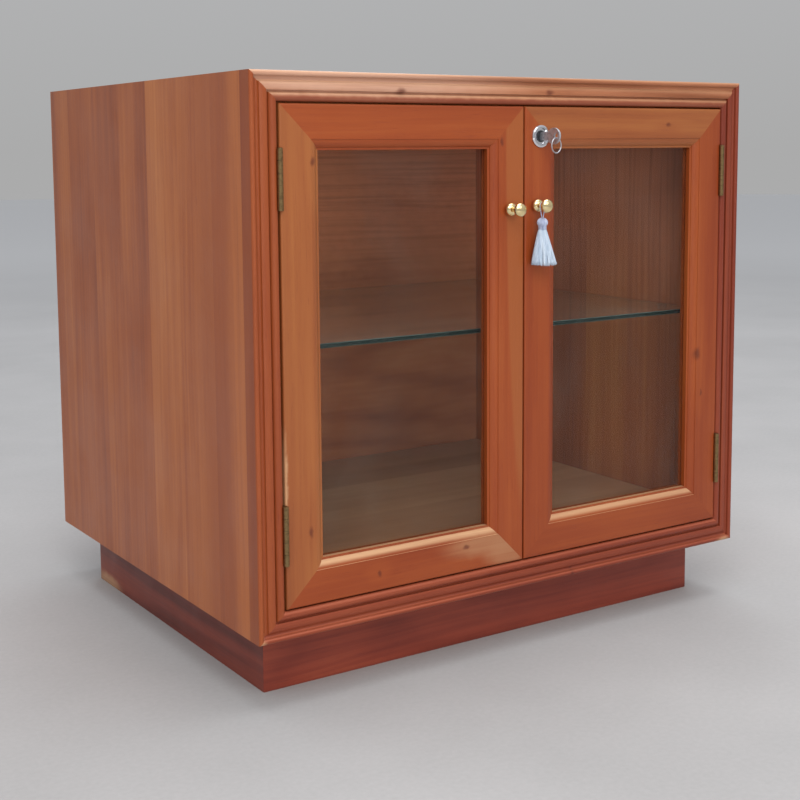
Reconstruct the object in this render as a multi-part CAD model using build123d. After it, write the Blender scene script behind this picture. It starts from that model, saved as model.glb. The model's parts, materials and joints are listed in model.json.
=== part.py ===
from build123d import *
import math
import os

os.makedirs("parts", exist_ok=True)

# A glazed display case on a recessed plinth: a veneered carcass, a mitred front moulding,
# two inset glazed doors on butt hinges, a glass shelf, a cam lock with its key, and a tassel.
# Millimetres. X runs along the front, Y from front to back, Z up. The origin is on the floor,
# in the middle of the whole case, whose front limit is the end of the key.

# ---------------------------------------------------------------- driving dimensions
WIDTH = 622.0
DEPTH = 524.0
CASE_HEIGHT = 530.0
PLINTH_HEIGHT = 66.0
KEY_REACH = 30.6  # from the case's front face to the end of the key

BOARD = 22.0
MOULDING_WIDTH = 28.0
MOULDING_DEPTH = 20.0
FLOOR_RISE = 39.0  # the inside floor above the bottom of the case
BACK_PANEL_AT = 474.0  # from the case's front face
BACK_PANEL = 8.0
GROOVE = 6.0

PLINTH_BOARD = 18.0
PLINTH_SIDE_RECESS = 27.0
PLINTH_FRONT_RECESS = 47.0
PLINTH_BACK_RECESS = 46.0
CORNER_BLOCK = 40.0

DOOR_GAP = 1.5
DOOR_SETBACK = 0.6
DOOR_THICKNESS = 19.0
MEMBER_WIDTH = 42.5
REBATE_WIDTH = 8.0
REBATE_AT = 11.0  # the depth where the glass starts
GLASS = 4.0

SHELF_TOP = 272.0  # above the bottom of the case
SHELF_GLASS = 5.0
SHELF_FRONT = 41.0
SHELF_PLAY = 1.0
SHELF_PIN_Y = (95.0, 420.0)

HINGE_LENGTH = 57.0
HINGE_MIDDLES = (101.0, 432.0)  # above the bottom of the case
KNUCKLE_RADIUS = 2.75
KNUCKLES = 5
HINGE_PIN_RADIUS = 1.5
PIN_PLAY = 0.04
HINGE_STANDS_OUT = 1.0  # the pin's axis in front of the case's front face
LEAF = 1.2
LEAF_REACH = 13.5
LEAF_GAP = 0.3
CLEARANCE = 0.3

KNOB_FROM_GAP = {"left": 20.0, "right": 14.5}
KNOB_HEIGHT = {"left": 397.0, "right": 400.0}
NECK_RADIUS = 2.4
NECK_MIDDLE = 11.2  # from the door's face
KNOB_SCREW_RADIUS = 2.0
KNOB_SCREW_DEPTH = 5.8

LOCK_FROM_GAP = 20.5
LOCK_HEIGHT = 470.5
BARREL_RADIUS = 9.3
FLANGE_RADIUS = 11.25
PLUG_RADIUS = 6.0
PLUG_PLAY = 0.05
PLUG_TAIL_Y = (25.0, 28.0)  # behind the case's front face
PLUG_TAIL_HALF = 3.5
CAM_REACH = 36.0
CAM_HUB_RADIUS = 8.5
CAM_HALF_WIDTH = 6.5
CAM_THICKNESS = 2.0
CAM_HUB_Y = 25.4
CAM_TIP_Y = 20.8
KEY_HOLE_Y = -24.8  # from the case's front face
KEY_HOLE_RADIUS = 3.0
KEY_HALF_THICKNESS = 1.0
KEY_BOW = (8.3, 9.5)  # half axes, up and along
KEY_NECK_HALF = 4.2
KEY_BLADE_HALF = 3.4
KEY_BLADE_END = 19.0
KEY_CUTS = (1.2, 2.0, 0.8, 1.6)
KEY_CUT_PITCH = 3.6
RING_RADIUS = 7.5
RING_WIRE = 1.3
RING_TURN = 12.0

BOLT_FROM_GAP = 14.75
BOLT_BEHIND = 25.5  # the bolt's axis behind the case's front face
BOLT_RADIUS = 2.5
BOLT_TRAVEL = 18.0
BOLT_TOP = 498.0  # above the bottom of the case, with the bolt drawn back
GUIDE_PLATE = 1.6
GUIDE_HALF_WIDTH = 9.5
GUIDE_SPAN = (442.0, 494.0)  # above the bottom of the case
GUIDE_LOOP = 6.0
GUIDE_LOOP_INSET = 6.0
GUIDE_LOOP_RADIUS = 3.8
GRIP_RADIUS = 2.8
GRIP_REACH = 8.0

# The tassel's loop as (x, z) from the knob's axis, and its forms as distances down from there.
LOOP_ROUTE = [(0.7, -12.8), (3.69, 1.49), (0.0, 3.98), (-3.69, 1.49), (-0.7, -12.8)]
LOOP_TURN_RADIUS = 3.25
LOOP_RADIUS = 0.5
HEAD_DROP = 12.6
HEAD_OUTLINE = [(0, 0), (1.6, 0), (4.6, 2.2), (5.8, 4.8), (5.4, 7.2), (4.0, 9.2), (3.9, 10.4), (0, 10.4)]
SKIRT_DROP = 23.0
SKIRT_LENGTH = 37.5
SKIRT_RINGS = [(0, 0, 4.1, 3.9), (0.45, 0.8, 8.4, 6.0), (1, 2.4, 15.0, 8.3)]  # share down, lean, half axes

# ---------------------------------------------------------------- derived planes
FRONT = (KEY_REACH - DEPTH) / 2
BACK = FRONT + DEPTH
SIDE = WIDTH / 2
INNER_SIDE = SIDE - BOARD
CASE_BOTTOM = PLINTH_HEIGHT
CASE_TOP = CASE_BOTTOM + CASE_HEIGHT
CARCASS_FRONT = FRONT + MOULDING_DEPTH
INSIDE_FLOOR = CASE_BOTTOM + FLOOR_RISE
INSIDE_TOP = CASE_TOP - BOARD
BACK_PANEL_FRONT = FRONT + BACK_PANEL_AT
BACK_PANEL_BACK = BACK_PANEL_FRONT + BACK_PANEL
DOOR_FACE = FRONT + DOOR_SETBACK
DOOR_BACK = DOOR_FACE + DOOR_THICKNESS
DOOR_SIDE = SIDE - MOULDING_WIDTH - DOOR_GAP
DOOR_BOTTOM = CASE_BOTTOM + MOULDING_WIDTH + DOOR_GAP
DOOR_TOP = CASE_TOP - MOULDING_WIDTH - DOOR_GAP
DOOR_OUTSIDE = ((-DOOR_SIDE, -DOOR_GAP / 2), (DOOR_BOTTOM, DOOR_TOP))
HINGE_X = SIDE - MOULDING_WIDTH - DOOR_GAP / 2
HINGE_Y = FRONT - HINGE_STANDS_OUT
SHELF_BOTTOM = CASE_BOTTOM + SHELF_TOP - SHELF_GLASS
LOCK = Vector(LOCK_FROM_GAP, 0, CASE_BOTTOM + LOCK_HEIGHT)
BOLT_X = -BOLT_FROM_GAP
BOLT_Y = FRONT + BOLT_BEHIND
GUIDE_LOW, GUIDE_HIGH = (CASE_BOTTOM + height for height in GUIDE_SPAN)
TASSEL_X = KNOB_FROM_GAP["right"]
TASSEL_Y = DOOR_FACE - NECK_MIDDLE
TASSEL_Z = CASE_BOTTOM + KNOB_HEIGHT["right"]


# ---------------------------------------------------------------- helpers
def save(name, *solids):
    """Write one node: one solid, or a group of separate ones."""
    shape = solids[0] if len(solids) == 1 else Compound(list(solids))
    export_step(shape, f"parts/{name}.step")


def block(x, y, z):
    """A box from its two limits along each axis."""
    size = [limits[1] - limits[0] for limits in (x, y, z)]
    middle = [(limits[1] + limits[0]) / 2 for limits in (x, y, z)]
    return Pos(*middle) * Box(*size)


def rod(radius, start, end):
    """A round bar from one point to another."""
    start = Vector(*start)
    run = Vector(*end) - start
    return extrude(Plane(origin=start, z_dir=run) * Circle(radius), run.length)


def prism(points, low, high):
    """An upright prism over a closed outline of (x, y) points."""
    outline = Polyline([(x, y, low) for x, y in points], close=True)
    return extrude(make_face(outline), high - low, dir=(0, 0, 1))


def turned(outline, origin, direction):
    """A turned piece from (radius, distance) points; distance runs along direction."""
    profile = make_face(Polyline([(radius, 0, along) for radius, along in outline], close=True))
    return Plane(origin=origin, z_dir=direction).location * revolve(profile, axis=Axis.Z)


def mitred_bar(section, length, width):
    """A bar along X, mitred at both ends, with its outer edge at z = 0."""
    half = length / 2
    bar = extrude(section, half, dir=(1, 0, 0), both=True)
    outline = Polyline(
        [(-half, -1, 0), (half, -1, 0), (half - width, -1, width), (width - half, -1, width)],
        close=True,
    )
    return bar & extrude(make_face(outline), 2 * MOULDING_DEPTH, dir=(0, 1, 0))


def mitred_frame(section, width, outside, front):
    """Four mitred bars round the rectangle outside = (x limits, z limits), by their place."""
    (x_low, x_high), (z_low, z_high) = outside
    across = mitred_bar(section, x_high - x_low, width)
    upright = mitred_bar(section, z_high - z_low, width)
    x_middle = (x_low + x_high) / 2
    z_middle = (z_low + z_high) / 2
    return {
        "bottom": Pos(x_middle, front, z_low) * across,
        "top": Pos(x_middle, front, z_high) * Rot(0, 180, 0) * across,
        "left": Pos(x_low, front, z_middle) * Rot(0, 90, 0) * upright,
        "right": Pos(x_high, front, z_middle) * Rot(0, -90, 0) * upright,
    }


def screw_seat(head, direction, length=13.0, head_radius=2.8, shank_radius=1.4):
    """The countersunk hole that a wood screw fills; the head's face is at the point head."""
    outline = [(0, 0), (head_radius, 0), (shank_radius, 1.4), (shank_radius, length - 2), (0, length)]
    return turned(outline, head, direction)


def wood_screw(head, direction, length=13.0, head_radius=2.8, shank_radius=1.4):
    """A countersunk screw with a slot across its head."""
    slot = Pos(0, 0, 0.2) * Box(2 * head_radius + 1, 0.7, 0.4)
    place = Plane(origin=head, z_dir=direction).location
    return screw_seat(head, direction, length, head_radius, shank_radius) - place * slot


# ---------------------------------------------------------------- carcass
def side_panel():
    """The left side: grooved for the back and bored for the shelf pins."""
    panel = block((-SIDE, -INNER_SIDE), (CARCASS_FRONT, BACK), (CASE_BOTTOM, CASE_TOP))
    groove = block(
        (-INNER_SIDE - GROOVE, -INNER_SIDE),
        (BACK_PANEL_FRONT, BACK_PANEL_BACK),
        (INSIDE_FLOOR - GROOVE, INSIDE_TOP + GROOVE),
    )
    panel = panel - groove
    for pin in shelf_pins():
        panel = panel - pin
    return panel


def shelf_pins():
    """The left side's two shelf pins: a round shank, a collar and a flat paddle."""
    pins = []
    for y in SHELF_PIN_Y:
        middle = SHELF_BOTTOM - CLEARANCE / 3 - 3.5
        place = FRONT + y
        shank = rod(2.5, (-INNER_SIDE - 10, place, middle), (-INNER_SIDE, place, middle))
        collar = rod(3.3, (-INNER_SIDE, place, middle), (-INNER_SIDE + 1.2, place, middle))
        stem = rod(2.5, (-INNER_SIDE, place, middle), (-INNER_SIDE + 9, place, middle))
        paddle = block(
            (-INNER_SIDE + 1.2, -INNER_SIDE + 10),
            (place - 4.5, place + 4.5),
            (middle + 2.0, middle + 3.5),
        )
        pins.append(shank + collar + stem + paddle)
    return pins


def level_panel(low):
    """The top or bottom board, with its front edge behind the moulding."""
    return block((-INNER_SIDE, INNER_SIDE), (CARCASS_FRONT, BACK), (low, low + BOARD))


def back_panel():
    """A thin panel held in grooves on all four sides."""
    reach = INNER_SIDE + GROOVE
    height = (INSIDE_FLOOR - GROOVE, INSIDE_TOP + GROOVE)
    return block((-reach, reach), (BACK_PANEL_FRONT, BACK_PANEL_BACK), height)


def make_carcass():
    left = side_panel()
    back = back_panel()
    save("left_side_panel", left)
    save("right_side_panel", mirror(left, about=Plane.YZ))
    bolt_hole = rod(BOLT_RADIUS + 0.7, (BOLT_X, BOLT_Y, INSIDE_TOP), (BOLT_X, BOLT_Y, INSIDE_TOP + 12))
    save("top_panel", level_panel(INSIDE_TOP) - back - bolt_hole)
    save("bottom_panel", level_panel(INSIDE_FLOOR - BOARD) - back)
    save("back_panel", back)
    pins = shelf_pins()
    save("shelf_pins", *pins, *[mirror(pin, about=Plane.YZ) for pin in pins])


# ---------------------------------------------------------------- front moulding
def moulding_section():
    """Outer bead, cove, gently bowed face, quirk, and a larger inner bead."""
    edges = [
        Line((0, MOULDING_DEPTH, 0), (0, 2.6, 0)),
        ThreePointArc((0, 2.6, 0), (0, 0.1, 2.6), (0, 2.6, 5.2)),
        Line((0, 2.6, 5.2), (0, 3.4, 5.2)),
        ThreePointArc((0, 3.4, 5.2), (0, 4.8, 7.9), (0, 2.2, 10.2)),
        ThreePointArc((0, 2.2, 10.2), (0, 1.0, 14.0), (0, 1.6, 17.6)),
        Line((0, 1.6, 17.6), (0, 4.2, 17.9)),
        Line((0, 4.2, 17.9), (0, 4.2, 19.4)),
        ThreePointArc((0, 4.2, 19.4), (0, 0, 23.7), (0, 4.2, MOULDING_WIDTH)),
        Line((0, 4.2, MOULDING_WIDTH), (0, MOULDING_DEPTH, MOULDING_WIDTH)),
        Line((0, MOULDING_DEPTH, MOULDING_WIDTH), (0, MOULDING_DEPTH, 0)),
    ]
    return make_face(Wire(edges))


def make_moulding(recesses, seats):
    outside = ((-SIDE, SIDE), (CASE_BOTTOM, CASE_TOP))
    frame = mitred_frame(moulding_section(), MOULDING_WIDTH, outside, FRONT)
    for tool in recesses + seats:
        frame["left"] = frame["left"] - tool
        frame["right"] = frame["right"] - mirror(tool, about=Plane.YZ)
    for place, bar in frame.items():
        save(f"moulding_{place}", bar)


# ---------------------------------------------------------------- plinth
def make_plinth():
    x = SIDE - PLINTH_SIDE_RECESS
    front = FRONT + PLINTH_FRONT_RECESS
    back = BACK - PLINTH_BACK_RECESS
    top = INSIDE_FLOOR - BOARD
    t = PLINTH_BOARD
    front_outline = [(-x, front), (x, front), (x - t, front + t), (t - x, front + t)]
    back_outline = [(-x, back), (x, back), (x - t, back - t), (t - x, back - t)]
    left_outline = [(-x, front), (t - x, front + t), (t - x, back - t), (-x, back)]
    left = prism(left_outline, 0, top)
    save("plinth_front", prism(front_outline, 0, top))
    save("plinth_back", prism(back_outline, 0, top))
    save("plinth_left", left)
    save("plinth_right", mirror(left, about=Plane.YZ))
    blocks = []
    for side in (-1, 1):
        for y, inward in ((front + t, 1), (back - t, -1)):
            corner = side * (x - t)
            outline = [
                (corner, y),
                (corner - side * CORNER_BLOCK, y),
                (corner, y + inward * CORNER_BLOCK),
            ]
            blocks.append(prism(outline, 8, top))
    save("plinth_corner_blocks", *blocks)


# ---------------------------------------------------------------- butt hinges
def hinge_leaf(knuckles):
    """One leaf about its own pin axis, with its plate on the -X side."""
    across = (-LEAF_GAP / 2 - LEAF, -LEAF_GAP / 2)
    plate_start = KNUCKLE_RADIUS + CLEARANCE + 0.05
    half = HINGE_LENGTH / 2
    pitch = HINGE_LENGTH / KNUCKLES
    leaf = block(across, (plate_start, LEAF_REACH), (-half, half))
    for number in knuckles:
        low = number * pitch - half + CLEARANCE / 2
        high = low + pitch - CLEARANCE
        leaf = leaf + block(across, (KNUCKLE_RADIUS - 0.8, plate_start), (low, high))
        leaf = leaf + rod(KNUCKLE_RADIUS, (0, 0, low), (0, 0, high))
    return leaf


def hinge_screw_heads(middle):
    """Where the three screws of a left hinge's case leaf have their heads."""
    x = -HINGE_X - LEAF_GAP / 2 - 0.1
    return [(x, HINGE_Y + 9, middle + rise) for rise in (-21, 0, 21)]


def hinge_set(middle):
    """One left hinge at the height middle, with its screws and the wood's recesses."""
    place = Pos(-HINGE_X, HINGE_Y, middle)
    half = HINGE_LENGTH / 2
    case_side = hinge_leaf((0, 2, 4)) - rod(HINGE_PIN_RADIUS, (0, 0, -half), (0, 0, half))
    door_side = hinge_leaf((1, 3))
    door_side = door_side - rod(HINGE_PIN_RADIUS + PIN_PLAY, (0, 0, -half), (0, 0, half))
    door_side = mirror(door_side, about=Plane.YZ)
    recess = block((-LEAF_GAP / 2 - LEAF, 0), (-KNUCKLE_RADIUS, LEAF_REACH), (-half, half))
    barrel = rod(KNUCKLE_RADIUS + 0.45, (0, 0, -half - CLEARANCE), (0, 0, half + CLEARANCE))
    heads = hinge_screw_heads(middle)
    door_heads = [(-2 * HINGE_X - x, y, z) for x, y, z in heads]
    case_seats = [screw_seat(head, (-1, 0, 0)) for head in heads]
    door_seats = [screw_seat(head, (1, 0, 0)) for head in door_heads]
    case_leaf = place * case_side
    door_leaf = place * door_side
    for tool in case_seats:
        case_leaf = case_leaf - tool
    for tool in door_seats:
        door_leaf = door_leaf - tool
    return {
        "case_leaf": case_leaf,
        "door_leaf": door_leaf,
        "pin": place * rod(HINGE_PIN_RADIUS, (0, 0, -half), (0, 0, half)),
        "case_screws": [wood_screw(head, (-1, 0, 0)) for head in heads],
        "door_screws": [wood_screw(head, (1, 0, 0)) for head in door_heads],
        "case_recess": place * (recess + barrel),
        "door_recess": place * (mirror(recess, about=Plane.YZ) + barrel),
        "case_seats": case_seats,
        "door_seats": door_seats,
    }


def make_hinges(hinges):
    pins = [hinge["pin"] for hinge in hinges]
    case_screws = [screw for hinge in hinges for screw in hinge["case_screws"]]
    door_screws = [screw for hinge in hinges for screw in hinge["door_screws"]]
    for level, hinge in zip(("lower", "upper"), hinges):
        for leaf in ("case_leaf", "door_leaf"):
            save(f"left_{level}_hinge_{leaf}", hinge[leaf])
            save(f"right_{level}_hinge_{leaf}", mirror(hinge[leaf], about=Plane.YZ))
    mirrored = [mirror(screw, about=Plane.YZ) for screw in case_screws]
    save("left_hinge_pins", *pins)
    save("right_hinge_pins", *[mirror(pin, about=Plane.YZ) for pin in pins])
    save("case_hinge_screws", *case_screws, *mirrored)
    save("left_door_hinge_screws", *door_screws)
    save("right_door_hinge_screws", *[mirror(screw, about=Plane.YZ) for screw in door_screws])


# ---------------------------------------------------------------- doors
def door_section():
    """Eased outer edge, flat face, sunk bow-fronted inner moulding, lip and glass rebate."""
    ease = 1.8
    flat = 32.5
    rebate = MEMBER_WIDTH - REBATE_WIDTH
    curve = ease * (1 - math.sqrt(0.5))
    edges = [
        Line((0, DOOR_THICKNESS, 0), (0, ease, 0)),
        ThreePointArc((0, ease, 0), (0, curve, curve), (0, 0, ease)),
        Line((0, 0, ease), (0, 0, flat)),
        Line((0, 0, flat), (0, 0.6, flat + 0.2)),
        ThreePointArc((0, 0.6, flat + 0.2), (0, 1.9, flat + 4.4), (0, 4.6, flat + 7.6)),
        Line((0, 4.6, flat + 7.6), (0, 5.4, flat + 7.8)),
        Line((0, 5.4, flat + 7.8), (0, 5.8, MEMBER_WIDTH)),
        Line((0, 5.8, MEMBER_WIDTH), (0, REBATE_AT, MEMBER_WIDTH)),
        Line((0, REBATE_AT, MEMBER_WIDTH), (0, REBATE_AT, rebate)),
        Line((0, REBATE_AT, rebate), (0, DOOR_THICKNESS, rebate)),
        Line((0, DOOR_THICKNESS, rebate), (0, DOOR_THICKNESS, 0)),
    ]
    return make_face(Wire(edges))


def glazing_beads():
    """Four mitred strips behind the left door's glass, flush with the door's back."""
    glass_back = REBATE_AT + GLASS
    edges = Polyline(
        [
            (0, glass_back, 0),
            (0, DOOR_THICKNESS, 0),
            (0, DOOR_THICKNESS, 6.5),
            (0, DOOR_THICKNESS - 1.5, REBATE_WIDTH),
            (0, glass_back, REBATE_WIDTH),
        ],
        close=True,
    )
    inset = MEMBER_WIDTH - REBATE_WIDTH
    outside = tuple((low + inset, high - inset) for low, high in DOOR_OUTSIDE)
    return list(mitred_frame(make_face(edges), REBATE_WIDTH, outside, DOOR_FACE).values())


def door_glass():
    """The left door's pane, a little smaller than its rebate."""
    inset = MEMBER_WIDTH - REBATE_WIDTH + 0.5
    x, z = [(low + inset, high - inset) for low, high in DOOR_OUTSIDE]
    return block(x, (DOOR_FACE + REBATE_AT, DOOR_FACE + REBATE_AT + GLASS), z)


def knob(x, z):
    """A turned dumb-bell knob, bored for its screw: base bead, neck and head bead."""
    foot_angle = 55
    base_angle = math.degrees(math.acos(NECK_RADIUS / 6.8))
    head_angle = math.degrees(math.acos(NECK_RADIUS / 7.2))
    base = EllipticalCenterArc((0, 4.3), 6.8, 4.4, -foot_angle, arc_size=foot_angle + base_angle)
    head = EllipticalCenterArc((0, 18.3), 7.2, 4.9, -head_angle, arc_size=head_angle + 84)
    foot = base @ 0
    tip = head @ 1
    edges = [
        Line((KNOB_SCREW_RADIUS, 0), (foot.X, 0)),
        Line((foot.X, 0), foot),
        base,
        Line(base @ 1, head @ 0),
        head,
        Line(tip, (0, tip.Y)),
        Line((0, tip.Y), (0, KNOB_SCREW_DEPTH)),
        Line((0, KNOB_SCREW_DEPTH), (KNOB_SCREW_RADIUS, KNOB_SCREW_DEPTH)),
        Line((KNOB_SCREW_RADIUS, KNOB_SCREW_DEPTH), (KNOB_SCREW_RADIUS, 0)),
    ]
    turned_knob = revolve(make_face(Wire(edges)), axis=Axis.Y)
    return Pos(x, DOOR_FACE, z) * mirror(turned_knob, about=Plane.XZ)


def knob_screw(x, z):
    """A round-headed screw from the back of the stile into the knob."""
    head = 2.2
    end = head + DOOR_THICKNESS + KNOB_SCREW_DEPTH
    shank = KNOB_SCREW_RADIUS
    outline = [(0, 0), (3.2, 0), (3.8, 1.0), (3.8, head), (shank, head), (shank, end), (0, end)]
    return turned(outline, (x, DOOR_BACK + head, z), (0, -1, 0))


def frame_names(side):
    """Which place of the mitred frame is which member of a door."""
    hinge_place, meeting_place = ("left", "right") if side == "left" else ("right", "left")
    return {
        hinge_place: "hinge_stile",
        meeting_place: "meeting_stile",
        "top": "top_rail",
        "bottom": "bottom_rail",
    }


def make_door(side, hinges, fittings):
    """One door; fittings are the tools that are cut from its meeting stile and top rail."""
    frame = mitred_frame(door_section(), MEMBER_WIDTH, DOOR_OUTSIDE, DOOR_FACE)
    for hinge in hinges:
        for tool in [hinge["door_recess"], *hinge["door_seats"]]:
            frame["left"] = frame["left"] - tool
    pane = door_glass()
    beads = glazing_beads()
    if side == "right":
        frame = {
            {"left": "right", "right": "left"}.get(place, place): mirror(bar, about=Plane.YZ)
            for place, bar in frame.items()
        }
        pane = mirror(pane, about=Plane.YZ)
        beads = [mirror(bead, about=Plane.YZ) for bead in beads]
    sign = -1 if side == "left" else 1
    x = sign * KNOB_FROM_GAP[side]
    z = CASE_BOTTOM + KNOB_HEIGHT[side]
    screw = knob_screw(x, z)
    for place, name in frame_names(side).items():
        bar = frame[place]
        if name in ("meeting_stile", "top_rail"):
            for tool in [screw, *fittings]:
                bar = bar - tool
        save(f"{side}_door_{name}", bar)
    save(f"{side}_door_glass", pane)
    save(f"{side}_door_glazing_beads", *beads)
    save(f"{side}_knob", knob(x, z))
    save(f"{side}_knob_screw", screw)


# ---------------------------------------------------------------- cam lock and key
def lock_point(across, behind, up):
    """A point given from the lock's axis and the case's front face."""
    return (LOCK.X + across, FRONT + behind, LOCK.Z + up)


def lock_housing():
    """A flanged barrel with a sunk face, bored for the plug."""
    bore = PLUG_RADIUS + PLUG_PLAY
    outline = [
        (bore, 1.8),
        (7.4, 1.8),
        (8.4, 0),
        (9.8, 0),
        (FLANGE_RADIUS, 0.9),
        (FLANGE_RADIUS, 2.4),
        (BARREL_RADIUS, 2.4),
        (BARREL_RADIUS, 26.4),
        (bore, 26.4),
    ]
    return turned(outline, lock_point(0, DOOR_SETBACK - 2.4, 0), (0, 1, 0))


def lock_nut():
    """The round nut that clamps the barrel from behind the door."""
    nut = rod(12, lock_point(0, DOOR_SETBACK + DOOR_THICKNESS, 0), lock_point(0, 22.6, 0))
    return nut - rod(BARREL_RADIUS, lock_point(0, 0, 0), lock_point(0, 30, 0))


def lock_plug():
    """The turning core, with an upright keyway and a square tail."""
    core = rod(PLUG_RADIUS, lock_point(0, 0.2, 0), lock_point(0, 25, 0))
    keyway = block(
        (LOCK.X - 1.3, LOCK.X + 1.3),
        (FRONT, FRONT + 20.5),
        (LOCK.Z - 3.8, LOCK.Z + 3.8),
    )
    tail = block(
        (LOCK.X - PLUG_TAIL_HALF, LOCK.X + PLUG_TAIL_HALF),
        (FRONT + PLUG_TAIL_Y[0], FRONT + PLUG_TAIL_Y[1]),
        (LOCK.Z - PLUG_TAIL_HALF, LOCK.Z + PLUG_TAIL_HALF),
    )
    return core - keyway + tail


def cam():
    """A cranked cam: its hub is behind the barrel and its tip close to the door's back."""
    bend_start, bend_end = 12.6, 17.0
    left = -CAM_HUB_RADIUS - 0.5
    side_view = [
        (left, CAM_HUB_Y),
        (bend_start, CAM_HUB_Y),
        (bend_end, CAM_TIP_Y),
        (CAM_REACH, CAM_TIP_Y),
        (CAM_REACH, CAM_TIP_Y + CAM_THICKNESS),
        (bend_end + 1, CAM_TIP_Y + CAM_THICKNESS),
        (bend_start + 1, CAM_HUB_Y + CAM_THICKNESS),
        (left, CAM_HUB_Y + CAM_THICKNESS),
    ]
    points = [lock_point(across, behind, -10) for across, behind in side_view]
    strip = extrude(make_face(Polyline(points, close=True)), 20, dir=(0, 0, 1))
    near, far = CAM_TIP_Y - 3, CAM_HUB_Y + 5
    start, end = lock_point(0, near, 0), lock_point(0, far, 0)
    arm = block(
        (LOCK.X, LOCK.X + CAM_REACH),
        (FRONT + near, FRONT + far),
        (LOCK.Z - CAM_HALF_WIDTH, LOCK.Z + CAM_HALF_WIDTH),
    )
    outline = (arm & rod(CAM_REACH, start, end)) + rod(CAM_HUB_RADIUS, start, end)
    return (strip & outline) - lock_plug()


def cam_screw():
    """The screw that holds the cam on the plug's tail."""
    outline = [(0, 0), (3.0, 0), (3.9, 0.8), (3.9, 2.2), (2, 2.2), (2, 8), (0, 8)]
    return turned(outline, lock_point(0, 30.2, 0), (0, -1, 0))


def key():
    """A flat key: notched blade, narrow neck, and an oval bow with a hole for the ring."""
    bow_middle = -KEY_REACH + KEY_BOW[1]
    x = (LOCK.X - KEY_HALF_THICKNESS, LOCK.X + KEY_HALF_THICKNESS)
    oval = extrude(Ellipse(*KEY_BOW), KEY_HALF_THICKNESS, both=True)
    bow = Pos(*lock_point(0, bow_middle, 0)) * Rot(0, 90, 0) * oval
    hole = rod(KEY_HOLE_RADIUS, lock_point(-3, KEY_HOLE_Y, 0), lock_point(3, KEY_HOLE_Y, 0))
    shoulder = FRONT - 0.3
    neck = block(x, (FRONT + bow_middle, shoulder), (LOCK.Z - KEY_NECK_HALF, LOCK.Z + KEY_NECK_HALF))
    height = (LOCK.Z - KEY_BLADE_HALF, LOCK.Z + KEY_BLADE_HALF)
    blade = block(x, (shoulder, FRONT + KEY_BLADE_END), height)
    edge = KEY_BLADE_HALF + 0.1
    for number, cut in enumerate(KEY_CUTS):
        y = FRONT + 4.5 + KEY_CUT_PITCH * number
        notch = [(y - 1.6, edge), (y - 0.5, edge - cut), (y + 0.5, edge - cut), (y + 1.6, edge)]
        points = [(LOCK.X - 2, along, LOCK.Z + up) for along, up in notch]
        blade = blade - extrude(make_face(Polyline(points, close=True)), 4, dir=(1, 0, 0))
    return bow + neck + blade - hole


def key_ring():
    """A wire ring through the key's hole, turned a little from the door's plane."""
    hang = -2.0
    middle = lock_point(0, KEY_HOLE_Y, hang - RING_RADIUS)
    return Pos(*middle) * Rot(0, 0, RING_TURN) * Rot(90, 0, 0) * Torus(RING_RADIUS, RING_WIRE / 2)


def make_lock():
    plug = lock_plug()
    arm = cam()
    screw = cam_screw()
    save("lock_housing", lock_housing())
    save("lock_nut", lock_nut())
    save("lock_plug", plug - screw)
    save("lock_cam", arm)
    save("cam_screw", screw)
    save("key", key())
    save("key_ring", key_ring())


# ---------------------------------------------------------------- left door's inside bolt
def bolt_screw_heads():
    """The four corners of the guide plate."""
    heights = (GUIDE_LOW + 4, GUIDE_HIGH - 4)
    return [(BOLT_X + side * 6.4, DOOR_BACK + GUIDE_PLATE, z) for side in (-1, 1) for z in heights]


def bolt_seats():
    return [screw_seat(head, (0, -1, 0), 11, 2.2, 1.2) for head in bolt_screw_heads()]


def guide_loops():
    """The height limits of the guide's lower and upper loops."""
    low = GUIDE_LOW + GUIDE_LOOP_INSET
    high = GUIDE_HIGH - GUIDE_LOOP_INSET
    return (low, low + GUIDE_LOOP), (high - GUIDE_LOOP, high)


def bolt_guide():
    """A plate with two bored loops, on the back of the meeting stile."""
    x = (BOLT_X - GUIDE_HALF_WIDTH, BOLT_X + GUIDE_HALF_WIDTH)
    guide = block(x, (DOOR_BACK, DOOR_BACK + GUIDE_PLATE), (GUIDE_LOW, GUIDE_HIGH))
    for low, high in guide_loops():
        web = (BOLT_X - GUIDE_LOOP_RADIUS, BOLT_X + GUIDE_LOOP_RADIUS)
        guide = guide + block(web, (DOOR_BACK + 1, BOLT_Y), (low, high))
        guide = guide + rod(GUIDE_LOOP_RADIUS, (BOLT_X, BOLT_Y, low), (BOLT_X, BOLT_Y, high))
    guide = guide - rod(BOLT_RADIUS + 0.08, (BOLT_X, BOLT_Y, GUIDE_LOW), (BOLT_X, BOLT_Y, GUIDE_HIGH))
    for seat in bolt_seats():
        guide = guide - seat
    return guide


def bolt():
    """The sliding rod with its finger grip, drawn back until the grip is just above the lower loop."""
    lower_loop = guide_loops()[0]
    low = lower_loop[0] - BOLT_TRAVEL - 2
    grip = lower_loop[1] + 0.6 + GRIP_RADIUS
    shaft = rod(BOLT_RADIUS, (BOLT_X, BOLT_Y, low), (BOLT_X, BOLT_Y, CASE_BOTTOM + BOLT_TOP))
    stem = rod(1.6, (BOLT_X, BOLT_Y, grip), (BOLT_X, BOLT_Y + GRIP_REACH - 1, grip))
    finger = rod(GRIP_RADIUS, (BOLT_X, BOLT_Y + GRIP_REACH - 3, grip), (BOLT_X, BOLT_Y + GRIP_REACH, grip))
    return shaft + stem + finger


def make_bolt():
    save("bolt_guide", bolt_guide())
    save("bolt", bolt())
    save("bolt_screws", *[wood_screw(head, (0, -1, 0), 11, 2.2, 1.2) for head in bolt_screw_heads()])


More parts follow.
